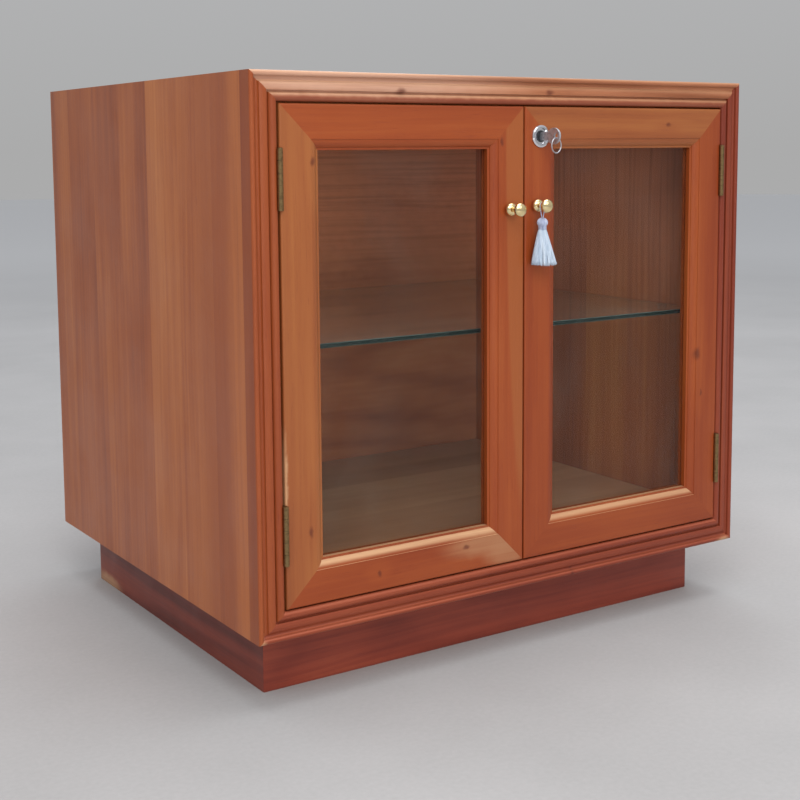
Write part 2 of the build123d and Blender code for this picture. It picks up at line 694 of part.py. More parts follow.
# ---------------------------------------------------------------- shelf
def make_shelf():
    width = INNER_SIDE - SHELF_PLAY
    depth = (FRONT + SHELF_FRONT, BACK_PANEL_FRONT - SHELF_PLAY)
    glass = block((-width, width), depth, (SHELF_BOTTOM, SHELF_BOTTOM + SHELF_GLASS))
    save("glass_shelf", chamfer(glass.edges(), 0.4))


# ---------------------------------------------------------------- tassel
def tassel_loop():
    """The thread from the head up round the right knob's neck and down again."""
    points = [(TASSEL_X + x, TASSEL_Y, TASSEL_Z + z) for x, z in LOOP_ROUTE]
    path = FilletPolyline(points, radius=[LOOP_TURN_RADIUS] * 3)
    start = Plane(origin=path @ 0, z_dir=path % 0)
    loop = sweep(start * Circle(LOOP_RADIUS), path)
    expected = path.length * math.pi * LOOP_RADIUS**2
    print(f"tassel loop: {path.length:.1f} mm long, radius {LOOP_TURN_RADIUS}")
    print(f"tassel loop: volume {loop.volume:.2f}, section times length {expected:.2f}")
    return loop


def tassel_head():
    """The bound head that the threads hang from."""
    return turned(HEAD_OUTLINE, (TASSEL_X, TASSEL_Y, TASSEL_Z - HEAD_DROP), (0, 0, -1))


def tassel_skirt():
    """The threads as one plain flared form, flatter towards the door."""
    top = TASSEL_Z - SKIRT_DROP
    rings = [
        Pos(TASSEL_X + lean, TASSEL_Y, top - share * SKIRT_LENGTH) * Ellipse(x_radius, y_radius)
        for share, lean, x_radius, y_radius in SKIRT_RINGS
    ]
    return loft(rings)


def make_tassel():
    loop = tassel_loop()
    save("tassel_loop", loop)
    save("tassel_head", tassel_head() - loop)
    save("tassel_skirt", tassel_skirt())


# ---------------------------------------------------------------- the whole case
def main():
    hinges = [hinge_set(CASE_BOTTOM + middle) for middle in HINGE_MIDDLES]
    lock_bore = rod(BARREL_RADIUS, lock_point(0, -5, 0), lock_point(0, 25, 0))
    make_carcass()
    make_moulding(
        [hinge["case_recess"] for hinge in hinges],
        [seat for hinge in hinges for seat in hinge["case_seats"]],
    )
    make_plinth()
    make_hinges(hinges)
    make_door("left", hinges, bolt_seats())
    make_door("right", hinges, [lock_bore])
    make_lock()
    make_bolt()
    make_shelf()
    make_tassel()


main()
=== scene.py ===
import json
import math
import random

import bmesh
import bpy
from mathutils import Matrix, Vector


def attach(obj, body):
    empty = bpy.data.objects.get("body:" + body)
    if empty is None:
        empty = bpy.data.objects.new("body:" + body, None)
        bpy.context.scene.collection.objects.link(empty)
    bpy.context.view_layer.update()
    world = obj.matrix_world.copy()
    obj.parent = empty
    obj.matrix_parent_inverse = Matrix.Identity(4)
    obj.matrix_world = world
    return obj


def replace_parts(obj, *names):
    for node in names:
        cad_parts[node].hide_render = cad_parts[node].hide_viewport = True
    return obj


# Looks for the glazed display case: varnished wood, glass, brass, a chrome lock and a thread tassel.
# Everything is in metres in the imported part's frame: X along the front, Y from front to back, Z up.

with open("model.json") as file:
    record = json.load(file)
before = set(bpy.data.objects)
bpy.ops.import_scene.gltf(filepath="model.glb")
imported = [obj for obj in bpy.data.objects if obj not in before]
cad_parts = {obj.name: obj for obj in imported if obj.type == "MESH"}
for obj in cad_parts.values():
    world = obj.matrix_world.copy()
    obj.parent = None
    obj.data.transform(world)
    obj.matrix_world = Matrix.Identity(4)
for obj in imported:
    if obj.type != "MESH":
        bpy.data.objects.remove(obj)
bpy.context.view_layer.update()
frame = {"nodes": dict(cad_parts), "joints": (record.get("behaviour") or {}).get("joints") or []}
nodes = frame["nodes"]
joints = {joint["name"]: joint for joint in frame["joints"]}

MM = 0.001
SEED = 11

# ---------------------------------------------------------------- camera
CAMERA_PLACE = (-0.86743, -1.33346, 0.52449)
CAMERA_YAW = 33.315
CAMERA_PITCH = 6.352
CAMERA_ROLL = 0.407
CAMERA_LENS = 61.0
CAMERA_SHIFT = -0.125


def make_camera():
    """A camera to the left of the case's front, a little above it, its picture shifted down a little."""
    data = bpy.data.cameras.new("camera")
    data.sensor_width = 36.0
    data.lens = CAMERA_LENS
    data.shift_y = CAMERA_SHIFT
    data.clip_start = 0.05
    data.clip_end = 60.0
    camera = bpy.data.objects.new("camera", data)
    turn = Matrix.Rotation(math.radians(-CAMERA_YAW), 4, "Z")
    tilt = Matrix.Rotation(math.radians(90.0 - CAMERA_PITCH), 4, "X")
    roll = Matrix.Rotation(math.radians(-CAMERA_ROLL), 4, "Z")
    camera.matrix_world = Matrix.Translation(CAMERA_PLACE) @ turn @ tilt @ roll
    bpy.context.scene.collection.objects.link(camera)
    bpy.context.scene.camera = camera


# ---------------------------------------------------------------- helpers for materials
def srgb(red, green, blue):
    """A linear colour from the 0 to 255 numbers of a paint chart."""
    linear = []
    for value in (red, green, blue):
        share = value / 255.0
        linear.append(share / 12.92 if share <= 0.04045 else ((share + 0.055) / 1.055) ** 2.4)
    return (*linear, 1.0)


# The colour sockets of a Mix node, which share their names with its number sockets.
MIX_FACTOR, MIX_FIRST, MIX_SECOND, MIX_RESULT = 0, 6, 7, 2


class Paint:
    """One node material, with short calls for the nodes that these materials repeat."""

    def __init__(self, name):
        self.material = bpy.data.materials.new(name)
        self.material.use_nodes = True
        self.tree = self.material.node_tree
        self.shader = self.tree.nodes["Principled BSDF"]
        self.output = self.tree.nodes["Material Output"]
        self.place = self.add("ShaderNodeTexCoord").outputs["Object"]

    def add(self, kind, settings=None, **inputs):
        """A new node; inputs are numbers, tuples or sockets, by the input's name with _ for a space."""
        node = self.tree.nodes.new(kind)
        for key, value in (settings or {}).items():
            setattr(node, key, value)
        for key, value in inputs.items():
            self.set(node.inputs[key.replace("_", " ")], value)
        return node

    def set(self, socket, value):
        if isinstance(value, bpy.types.NodeSocket):
            self.tree.links.new(value, socket)
        else:
            socket.default_value = value

    def math(self, operation, first, second=0.0, third=0.0, clamp=False):
        node = self.tree.nodes.new("ShaderNodeMath")
        node.operation = operation
        node.use_clamp = clamp
        for socket, value in zip(node.inputs, (first, second, third)):
            self.set(socket, value)
        return node.outputs[0]

    def vector(self, operation, first, second=(0.0, 0.0, 0.0), result="Vector"):
        node = self.tree.nodes.new("ShaderNodeVectorMath")
        node.operation = operation
        self.set(node.inputs[0], first)
        self.set(node.inputs[1], second)
        return node.outputs[result]

    def stretch(self, place, scale, shift=(0.0, 0.0, 0.0)):
        node = self.add("ShaderNodeMapping", Vector=place, Scale=scale, Location=shift)
        return node.outputs["Vector"]

    def noise(self, place, scale=1.0, detail=2.0, roughness=0.5, distortion=0.0, result="Fac"):
        node = self.add(
            "ShaderNodeTexNoise",
            Vector=place,
            Scale=scale,
            Detail=detail,
            Roughness=roughness,
            Distortion=distortion,
        )
        return node.outputs[result]

    def remap(self, value, low, high, to_low=0.0, to_high=1.0):
        node = self.tree.nodes.new("ShaderNodeMapRange")
        node.interpolation_type = "SMOOTHSTEP"
        for socket, given in zip(node.inputs, (value, low, high, to_low, to_high)):
            self.set(socket, given)
        return node.outputs["Result"]

    def mix(self, share, first, second, blend="MIX"):
        node = self.tree.nodes.new("ShaderNodeMix")
        node.data_type = "RGBA"
        node.blend_type = blend
        self.set(node.inputs[MIX_FACTOR], share)
        self.set(node.inputs[MIX_FIRST], first)
        self.set(node.inputs[MIX_SECOND], second)
        return node.outputs[MIX_RESULT]

    def ramp(self, value, stops):
        node = self.add("ShaderNodeValToRGB", Fac=value)
        elements = node.color_ramp.elements
        while len(elements) < len(stops):
            elements.new(0.5)
        for element, (position, colour) in zip(elements, stops):
            element.position = position
            element.color = colour
        return node.outputs["Color"]

    def spot(self, place, centre, radii, soft=0.6):
        """1 inside an ellipsoid and 0 outside; centre and radii in millimetres."""
        scale = tuple(1.0 / (radius * MM) for radius in radii)
        shift = tuple(-point * MM * factor for point, factor in zip(centre, scale))
        distance = self.vector("LENGTH", self.stretch(place, scale, shift), result="Value")
        return self.remap(distance, 1.0 - soft, 1.0 + soft, 1.0, 0.0)

    def bump(self, height, distance, strength=1.0):
        node = self.add("ShaderNodeBump", Height=height, Distance=distance, Strength=strength)
        self.set(self.shader.inputs["Normal"], node.outputs["Normal"])

    def finish(self, **inputs):
        """Set the shader's own sockets."""
        for key, value in inputs.items():
            self.set(self.shader.inputs[key.replace("_", " ")], value)
        return self.material


def wear_material(material, *names):
    """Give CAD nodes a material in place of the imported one."""
    for name in names:
        mesh = nodes[name].data
        mesh.materials.clear()
        mesh.materials.append(material)


# ---------------------------------------------------------------- wood
GRAIN_ORDER = {"x": ("X", "Y", "Z"), "y": ("Y", "Z", "X"), "z": ("Z", "X", "Y")}

VENEER = [srgb(134, 66, 36), srgb(160, 85, 44), srgb(176, 101, 53), srgb(194, 121, 68)]
DOOR = [srgb(112, 42, 16), srgb(133, 56, 22), srgb(146, 68, 28), srgb(164, 89, 43)]
DOOR_TAN = [srgb(120, 60, 30), srgb(143, 79, 41), srgb(155, 92, 48), srgb(170, 112, 66)]
MOULDING = [srgb(92, 32, 19), srgb(119, 47, 28), srgb(133, 59, 35), srgb(154, 81, 51)]
MOULDING_SIDE = [srgb(106, 43, 18), srgb(134, 61, 29), srgb(150, 76, 37), srgb(168, 96, 52)]
MOULDING_TOP = [srgb(132, 76, 46), srgb(160, 100, 68), srgb(176, 118, 84), srgb(196, 144, 108)]
PLINTH = [srgb(90, 36, 27), srgb(114, 47, 35), srgb(131, 57, 41), srgb(152, 76, 52)]
INSIDE = [srgb(134, 68, 40), srgb(160, 88, 54), srgb(176, 102, 64), srgb(192, 120, 80)]
INSIDE_FLOOR = [srgb(150, 100, 70), srgb(172, 118, 86), srgb(184, 130, 97), srgb(200, 148, 113)]
SAPWOOD = srgb(150, 82, 40)
PALE = srgb(200, 158, 118)
# Painted highlight tints: faces that look up are paled towards these, standing in for light from above.
TOP_HIGHLIGHT_CREAM = srgb(206, 164, 124)
TOP_HIGHLIGHT_RED = srgb(172, 92, 64)
BARE = srgb(164, 114, 80)
KNOT = srgb(92, 38, 22)
DARK_LEAF = srgb(154, 80, 42)
FRONT_LEAF = srgb(184, 106, 54)
GREYED = srgb(204, 166, 144)
# A painted pool of light: the paler tint for the upper inside of the case.
PAINTED_LIGHT_INSIDE = srgb(228, 138, 98)

# A radius in millimetres that is so large that a spot runs right through the case that way.
THROUGH = 5000.0


def knot_reach(grain, radii):
    """How far round a knot the grain bends: further along the grain than across it."""
    along = {"x": 0, "y": 1, "z": 2}[grain]
    return [radius * (9.0 if axis == along else 3.2) for axis, radius in enumerate(radii)]


def wood(
    name,
    grain,
    tones,
    seed,
    rings=9.0,
    ring_width=5.5,
    leaf=0.0,
    contrast=1.0,
    stripes=1.0,
    knots=(),
    pale=(),
    dark=(),
    sapwood=(),
    painted_top_highlight=None,
    gloss=0.40,
    specular=0.35,
    coat=0.12,
    corner_shade_reach=0.004,
):
    """Varnished wood with its grain along one axis.

    leaf is the width of a sheet of veneer, or 0 for solid wood. knots, pale, dark and sapwood are
    places in millimetres: (centre, radii) of a knot, a patch of another tint (pale wood, wear, a
    painted pool of light or a painted band of shade), a dark patch, and the clean-edged outer wood of
    the tree. painted_top_highlight is a painted highlight: the pale tint of faces that look up to the
    light, and how strong it is. corner_shade_reach is how far the painted shade of a corner reaches,
    in metres.
    """
    paint = Paint(name)
    parts = paint.add("ShaderNodeSeparateXYZ", Vector=paint.place)
    along, across, through = (parts.outputs[axis] for axis in GRAIN_ORDER[grain])
    leaf_tone = 0.5
    if leaf:
        across_leaf = through if grain == "z" else across
        number = paint.math("FLOOR", paint.math("DIVIDE", paint.math("ADD", across_leaf, 2.0), leaf))
        random_leaf = paint.add("ShaderNodeTexWhiteNoise", {"noise_dimensions": "1D"}, W=number)
        leaf_tone = random_leaf.outputs["Value"]
        along = paint.math("ADD", along, paint.math("MULTIPLY", leaf_tone, 3.0))
    grain_place = paint.add("ShaderNodeCombineXYZ", X=along, Y=across, Z=through).outputs["Vector"]
    grain_place = paint.vector("ADD", grain_place, (seed * 0.731, seed * 0.377, seed * 0.513))

    drift = paint.noise(paint.stretch(grain_place, (3.0, 9.0, 9.0)), detail=1.0, result="Color")
    drift = paint.vector("SUBTRACT", drift, (0.5, 0.5, 0.5))
    drift = paint.vector("MULTIPLY", drift, (0.0, 0.012, 0.012))
    warped = paint.vector("ADD", grain_place, drift)

    growth = paint.noise(paint.stretch(warped, (0.8, ring_width, ring_width)), detail=1.5, roughness=0.4)
    wobble = paint.noise(paint.place, 90.0, 2.0, result="Color")
    wobble = paint.vector("MULTIPLY", paint.vector("SUBTRACT", wobble, (0.5, 0.5, 0.5)), (0.006,) * 3)
    rough_place = paint.vector("ADD", paint.place, wobble)
    knot_share = 0.0
    for centre, radii in knots:
        around = paint.spot(paint.place, centre, knot_reach(grain, radii), 0.9)
        growth = paint.math("MULTIPLY_ADD", around, 0.05, growth)
        heart = paint.spot(rough_place, centre, radii, 0.7)
        knot_share = paint.math("MAXIMUM", heart, knot_share)
    phase = paint.math("MULTIPLY", growth, rings * 2.0 * math.pi)
    ring = paint.math("MULTIPLY_ADD", paint.math("SINE", phase), 0.5, 0.5)
    ring = paint.math("POWER", ring, 1.8)

    broad = paint.noise(paint.stretch(warped, (1.6 / stripes, 16.0 * stripes, 16.0 * stripes)), detail=2.0)
    streak = paint.noise(paint.stretch(warped, (3.5, 190.0, 190.0)), detail=3.0, roughness=0.6)
    pores = paint.noise(paint.stretch(warped, (45.0, 1500.0, 1500.0)), detail=2.0)
    mottle = paint.noise(paint.stretch(warped, (22.0, 60.0, 60.0)), detail=2.0)

    tone = paint.math("MULTIPLY_ADD", paint.math("SUBTRACT", broad, 0.5), 1.15 * contrast, 0.5)
    tone = paint.math("MULTIPLY_ADD", paint.math("SUBTRACT", ring, 0.35), -0.22 * contrast, tone)
    tone = paint.math("MULTIPLY_ADD", paint.math("SUBTRACT", streak, 0.5), 0.75 * contrast * stripes, tone)
    tone = paint.math("MULTIPLY_ADD", paint.math("SUBTRACT", mottle, 0.5), 0.22 * contrast / stripes, tone)
    tone = paint.math("MULTIPLY_ADD", paint.math("SUBTRACT", leaf_tone, 0.5), 0.34, tone)
    pore_share = paint.remap(pores, 0.60, 0.72)
    tone = paint.math("MULTIPLY_ADD", pore_share, -0.14, tone, clamp=True)
    colour = paint.ramp(tone, list(zip((0.08, 0.38, 0.62, 0.95), tones)))

    for centre, radii in sapwood:
        share = paint.spot(paint.vector("ADD", paint.place, drift), centre, radii, 0.07)
        colour = paint.mix(paint.math("MULTIPLY", share, 0.85), colour, SAPWOOD)
    # Tinted patches: pale wood and wear, and also painted light or painted shade where a call gives it.
    for centre, radii, tint, amount in pale:
        share = paint.spot(rough_place, centre, radii, 0.55)
        share = paint.math("MULTIPLY", share, paint.remap(streak, 0.25, 0.6, 0.55, 1.0))
        colour = paint.mix(paint.math("MULTIPLY", share, amount), colour, tint)
    for centre, radii, amount in dark:
        share = paint.spot(rough_place, centre, radii, 0.7)
        colour = paint.mix(paint.math("MULTIPLY", share, amount), colour, tones[0])
    if knots:
        colour = paint.mix(paint.math("MULTIPLY", knot_share, 0.75), colour, KNOT)
    # Painted highlight: faces that look up are mixed towards a pale tint, as if lit strongly from above.
    if painted_top_highlight:
        tint, amount = painted_top_highlight
        normal = paint.add("ShaderNodeNewGeometry").outputs["Normal"]
        upward = paint.add("ShaderNodeSeparateXYZ", Vector=normal).outputs["Z"]
        share = paint.remap(upward, 0.12, 0.6, 0.0, amount)
        share = paint.math("MULTIPLY", share, paint.remap(streak, 0.3, 0.6, 0.7, 1.0))
        colour = paint.mix(share, colour, tint)
    # Painted shade: the colour darkens towards the darkest tone in corners, grooves and joints that the AO
    # node finds.
    shade = paint.add("ShaderNodeAmbientOcclusion", {"samples": 6}, Distance=corner_shade_reach)
    painted_shade = paint.remap(shade.outputs["AO"], 0.25, 0.8, 0.4, 0.0)
    colour = paint.mix(painted_shade, colour, tones[0])

    smear = paint.noise(paint.place, 14.0, 3.0)
    roughness = paint.remap(smear, 0.3, 0.75, gloss - 0.05, gloss + 0.08)
    roughness = paint.math("MULTIPLY_ADD", streak, 0.06, roughness)
    height = paint.math("MULTIPLY_ADD", pore_share, -0.6, streak)
    height = paint.math("MULTIPLY_ADD", paint.noise(paint.place, 260.0, 1.0), 0.12, height)
    paint.bump(height, 0.00022, 0.5)
    return paint.finish(
        Base_Color=colour,
        Roughness=roughness,
        Coat_Weight=coat,
        Coat_Roughness=0.22,
        IOR=1.5,
        Specular_IOR_Level=specular,
    )


def front_spot(x, z, width, height):
    """A place on the case's front: its centre and radii, running right through the wood."""
    return (x, 0.0, z), (width, THROUGH, height)


def wood_case():
    """The carcass: veneered sides, top and floor, and the back panel."""
    sheets = {"rings": 7.0, "ring_width": 6.0, "leaf": 0.0765, "contrast": 0.6}
    red_leaf = ((-311.0, -172.0, 330.0), (THROUGH, 34.0, THROUGH), DARK_LEAF, 0.6)
    front_leaf = ((-311.0, -228.0, 330.0), (THROUGH, 24.0, THROUGH), FRONT_LEAF, 0.75)
    left = wood("veneer_left_side", "z", VENEER, 3.0, stripes=1.3, pale=[red_leaf, front_leaf], **sheets)
    # Painted light: the upper part of the right side's inner face is paled, for light falling into the case.
    painted_light_right_wall = ((283.0, 0.0, 540.0), (14.0, THROUGH, 190.0), PAINTED_LIGHT_INSIDE, 0.75)
    right = wood("veneer_right_side", "z", VENEER, 8.0, stripes=1.5, pale=[painted_light_right_wall], **sheets)
    wear_material(left, "left_side_panel")
    wear_material(right, "right_side_panel")
    top = wood("veneer_top", "x", VENEER, 5.0, rings=8.0, leaf=0.131, contrast=0.7)
    wear_material(top, "top_panel")
    unpolished = {"gloss": 0.5, "specular": 0.2, "coat": 0.0}
    floor = wood("veneer_floor", "x", INSIDE_FLOOR, 6.0, rings=8.0, leaf=0.131, contrast=0.5, **unpolished)
    wear_material(floor, "bottom_panel")
    # Painted light: the upper part of the back panel's inner face is paled the same way.
    painted_light_back_top = ((0.0, 222.0, 540.0), (THROUGH, 10.0, 190.0), PAINTED_LIGHT_INSIDE, 0.95)
    back = wood(
        "veneer_back", "x", INSIDE, 7.4, rings=12.0, ring_width=4.5, contrast=1.0, stripes=0.5,
        pale=[painted_light_back_top], **unpolished,
    )
    wear_material(back, "back_panel")


def wood_moulding():
    """Four mitred lengths: pale with two knots on top, orange on the left and dark red elsewhere."""
    top_knots = [((-149.4, 0.0, 578.0), (5.0, THROUGH, 3.0)), ((33.2, 0.0, 581.0), (4.0, THROUGH, 2.5))]
    greyed = (*front_spot(-190.0, 588.0, 150.0, 14.0), GREYED, 0.6)
    # Painted shade: a darker red band along the moulding's lower edge, for the shade under its inner bead.
    shaded_red_edge = (*front_spot(0.0, 568.0, THROUGH, 6.5), MOULDING[1], 0.8)
    # The top moulding's upward faces carry a faint painted highlight.
    top = wood(
        "moulding_wood_top", "x", MOULDING_TOP, 2.2, contrast=0.7, knots=top_knots, pale=[greyed, shaded_red_edge],
        painted_top_highlight=(TOP_HIGHLIGHT_CREAM, 0.3),
    )
    wear_material(top, "moulding_top")
    worn = [(*front_spot(297.0, 67.0, 9.0, 4.0), PALE, 0.7), (*front_spot(-309.0, 68.0, 5.0, 4.0), PALE, 0.5)]
    chip = [(*front_spot(67.8, 70.0, 2.0, 5.0), 0.9)]
    # The bottom moulding's upward faces carry a painted highlight.
    bottom = wood(
        "moulding_wood_bottom", "x", MOULDING, 9.1, contrast=0.7, pale=worn, dark=chip,
        painted_top_highlight=(TOP_HIGHLIGHT_RED, 0.5),
    )
    wear_material(bottom, "moulding_bottom")
    left = wood("moulding_wood_left", "z", MOULDING_SIDE, 4.6, contrast=0.4, corner_shade_reach=0.002)
    wear_material(left, "moulding_left")
    right = wood("moulding_wood_right", "z", MOULDING, 12.3, contrast=0.6, corner_shade_reach=0.003)
    wear_material(right, "moulding_right")


def wood_doors():
    """Eight mitred door members, each with its own board of wood, and the glazing beads."""
    contrast = 0.55
    left_streaks = [(*front_spot(-281.5, 214.0, 2.6, 42.0), PALE, 0.7)]
    left_hinge = wood(
        "left_door_wood_hinge_stile", "z", DOOR_TAN, 1.7, contrast=contrast, pale=left_streaks,
        knots=[front_spot(-247.6, 513.8, 2.6, 4.0), front_spot(-254.0, 166.0, 1.8, 5.0)],
    )
    wear_material(left_hinge, "left_door_hinge_stile")
    left_meeting = wood(
        "left_door_wood_meeting_stile", "z", DOOR, 6.9, contrast=contrast,
        sapwood=[front_spot(0.0, 600.0, 24.0, 440.0)], knots=[front_spot(-28.5, 531.0, 2.0, 3.5)],
    )
    wear_material(left_meeting, "left_door_meeting_stile")
    wear_material(wood("left_door_wood_top_rail", "x", DOOR, 13.6, contrast=contrast), "left_door_top_rail")
    bare = [
        (*front_spot(-50.0, 122.0, 44.0, 12.0), BARE, 0.8),
        (*front_spot(-20.0, 108.0, 26.0, 14.0), BARE, 0.8),
    ]
    # The bottom rail's sloping upward faces carry a strong painted highlight.
    left_bottom = wood(
        "left_door_wood_bottom_rail", "x", DOOR, 10.8, contrast=contrast, pale=bare,
        painted_top_highlight=(TOP_HIGHLIGHT_CREAM, 0.85),
        knots=[front_spot(-74.0, 121.1, 3.6, 2.4), front_spot(-179.0, 112.0, 1.6, 3.0)],
    )
    wear_material(left_bottom, "left_door_bottom_rail")
    right_hinge = wood(
        "right_door_wood_hinge_stile", "z", DOOR, 15.4, contrast=contrast,
        knots=[front_spot(249.8, 291.2, 4.5, 5.5), front_spot(257.0, 246.0, 1.6, 3.4)],
    )
    wear_material(right_hinge, "right_door_hinge_stile")
    right_meeting = wood("right_door_wood_meeting_stile", "z", DOOR, 18.2, contrast=contrast)
    wear_material(right_meeting, "right_door_meeting_stile")
    right_top = wood(
        "right_door_wood_top_rail", "x", DOOR_TAN, 19.7, contrast=contrast,
        knots=[front_spot(201.0, 549.0, 2.6, 2.0)],
    )
    wear_material(right_top, "right_door_top_rail")
    # The right bottom rail's upward faces carry a painted highlight too.
    right_bottom = wood(
        "right_door_wood_bottom_rail", "x", DOOR, 21.3, contrast=contrast, painted_top_highlight=(TOP_HIGHLIGHT_CREAM, 0.7)
    )
    wear_material(right_bottom, "right_door_bottom_rail")
    beads = wood("bead_wood", "x", DOOR, 23.0, contrast=contrast)
    wear_material(beads, "left_door_glazing_beads", "right_door_glazing_beads")


def wood_plinth():
    """Dark red-brown plinth boards, worn pale along the bottom at the back."""
    worn = [((-284.0, 205.0, 3.0), (60.0, 34.0, 8.0), PALE, 0.7)]
    wear_material(wood("plinth_wood_front", "x", PLINTH, 2.9, rings=14.0, contrast=0.9), "plinth_front")
    wear_material(wood("plinth_wood_left", "y", PLINTH, 5.3, rings=12.0, pale=worn), "plinth_left")
    wear_material(wood("plinth_wood_right", "y", PLINTH, 7.7, rings=12.0), "plinth_right")
    wear_material(wood("plinth_wood_back", "x", PLINTH, 11.1, rings=12.0), "plinth_back")
    wear_material(wood("corner_block_wood", "z", INSIDE, 14.9, coat=0.0, gloss=0.6), "plinth_corner_blocks")


# ---------------------------------------------------------------- glass
def glass(name, tint, smears, edge=None):
    """Clear glass that lets lamps and bounced light through, with faint smears.

    edge is the dark colour of a shelf's ground edges.
    """
    paint = Paint(name)
    smear_place = paint.stretch(paint.place, (9.0, 9.0, 5.0))
    smear = paint.noise(smear_place, detail=4.0, roughness=0.65, distortion=0.6)
    film = paint.remap(smear, 0.45, 0.8, 1.0 - smears * 0.3, 1.0 - smears)
    colour = tint
    if edge:
        normal = paint.add("ShaderNodeNewGeometry").outputs["Normal"]
        upright = paint.math("ABSOLUTE", paint.add("ShaderNodeSeparateXYZ", Vector=normal).outputs["Z"])
        side = paint.remap(upright, 0.35, 0.8, 1.0, 0.0)
        depth = paint.noise(paint.place, 30.0, 2.0)
        edge_colour = paint.mix(depth, edge, tuple(0.55 * value for value in edge[:3]) + (1.0,))
        colour = paint.mix(side, tint, edge_colour)
        film = paint.math("MULTIPLY_ADD", side, -0.9, film, clamp=True)
    paint.finish(
        Base_Color=colour,
        Roughness=0.0,
        IOR=1.36 if edge else 1.2,
        Transmission_Weight=film,
    )
    rays = paint.add("ShaderNodeLightPath").outputs
    ray = paint.math("MAXIMUM", rays["Is Shadow Ray"], rays["Is Diffuse Ray"])
    clear = paint.add("ShaderNodeBsdfTransparent", Color=tint)
    through = paint.add("ShaderNodeMixShader", Fac=ray)
    paint.set(through.inputs[1], paint.shader.outputs[0])
    paint.set(through.inputs[2], clear.outputs[0])
    paint.set(paint.output.inputs["Surface"], through.outputs[0])
    return paint.material


def glazing():
    """The two door panes and the shelf."""
    pane = glass("pane_glass", (0.90, 0.94, 0.92, 1.0), smears=0.012)
    wear_material(pane, "left_door_glass", "right_door_glass")
    shelf = glass("shelf_glass_green", (0.86, 0.93, 0.90, 1.0), edge=srgb(10, 34, 30), smears=0.10)
    wear_material(shelf, "glass_shelf")


# ---------------------------------------------------------------- metals
WORN = (0.45, 0.75)  # where tarnish starts and ends in the noise that spreads it


def metal(name, bright, dull, gloss, tarnish, brushed=0.0, pitted=0.00003):
    """Metal with tarnish in patches, fine scratches and a little pitting."""
    paint = Paint(name)
    patch = paint.noise(paint.place, 260.0, 4.0, 0.6)
    share = paint.remap(patch, *tarnish)
    scratch = paint.noise(paint.stretch(paint.place, (2600.0, 2600.0, 60.0)), detail=2.0)
    # Painted shade: the colour darkens in hollows and corners that the AO node finds.
    shade = paint.add("ShaderNodeAmbientOcclusion", {"samples": 4}, Distance=0.0012)
    painted_shade = paint.remap(shade.outputs["AO"], 0.3, 0.8, 0.8, 0.0)
    colour = paint.mix(share, bright, dull)
    colour = paint.mix(painted_shade, colour, tuple(0.35 * value for value in dull[:3]) + (1.0,))
    roughness = paint.math("MULTIPLY_ADD", share, 0.22, gloss)
    roughness = paint.math("MULTIPLY_ADD", scratch, 0.10 + brushed, roughness)
    paint.bump(paint.math("ADD", scratch, patch), pitted, 0.4)
    return paint.finish(Base_Color=colour, Metallic=1.0, Roughness=roughness)


def metalwork():
    """Knobs, hinges, lock, key, bolt and pins."""
    brass = metal("polished_brass", srgb(248, 226, 172), srgb(216, 182, 118), 0.14, (0.5, 0.85))
    wear_material(brass, "left_knob", "right_knob")
    aged = metal("aged_brass", srgb(150, 124, 86), srgb(98, 77, 52), 0.36, (0.4, 0.85), pitted=0.00006)
    hinge_parts = ("hinge_case_leaf", "hinge_door_leaf", "hinge_pins", "hinge_screws")
    hinge_nodes = [name for name in nodes if name.endswith(hinge_parts)]
    wear_material(aged, *hinge_nodes, "bolt_guide", "bolt", "bolt_screws")
    chrome = metal("lock_chrome_plate", srgb(226, 226, 230), srgb(178, 178, 184), 0.05, (0.6, 0.9))
    wear_material(chrome, "lock_housing")
    plug = metal("lock_plug_chrome", srgb(96, 97, 100), srgb(52, 53, 56), 0.22, (0.4, 0.8))
    wear_material(plug, "lock_plug")
    nickel = metal("key_nickel_plate", srgb(206, 207, 212), srgb(150, 150, 156), 0.42, WORN, brushed=0.1)
    wear_material(nickel, "key", "key_ring")
    steel_nodes = ("shelf_pins", "left_knob_screw", "right_knob_screw", "lock_nut", "lock_cam", "cam_screw")
    steel = metal("plain_steel", srgb(160, 160, 162), srgb(110, 108, 106), 0.28, WORN, brushed=0.12)
    wear_material(steel, *steel_nodes)


# ---------------------------------------------------------------- tassel
KNOB_AXIS = Vector(joints["tassel_swing"]["pos_m"])
LOOP_RADIUS = 0.5
LOOP_SIDE = [(0.7, -12.8), (2.45, -4.36), (3.69, 1.49)]
LOOP_POINTS = [*LOOP_SIDE, (0.0, 3.98), *((-x, z) for x, z in reversed(LOOP_SIDE))]
HEAD_TOP = -12.6
HEAD_BOTTOM = -23.0
SKIRT_BOTTOM = -60.5
SKIRT_THREADS = 420
THREAD_RADIUS = 0.33
WRAPS = 7
THREAD_TWIST = 0.5
PALE_THREAD = [srgb(136, 156, 182), srgb(176, 192, 210), srgb(206, 217, 229)]
BOUND_THREAD = [srgb(128, 138, 172), srgb(166, 176, 204), srgb(198, 206, 226)]


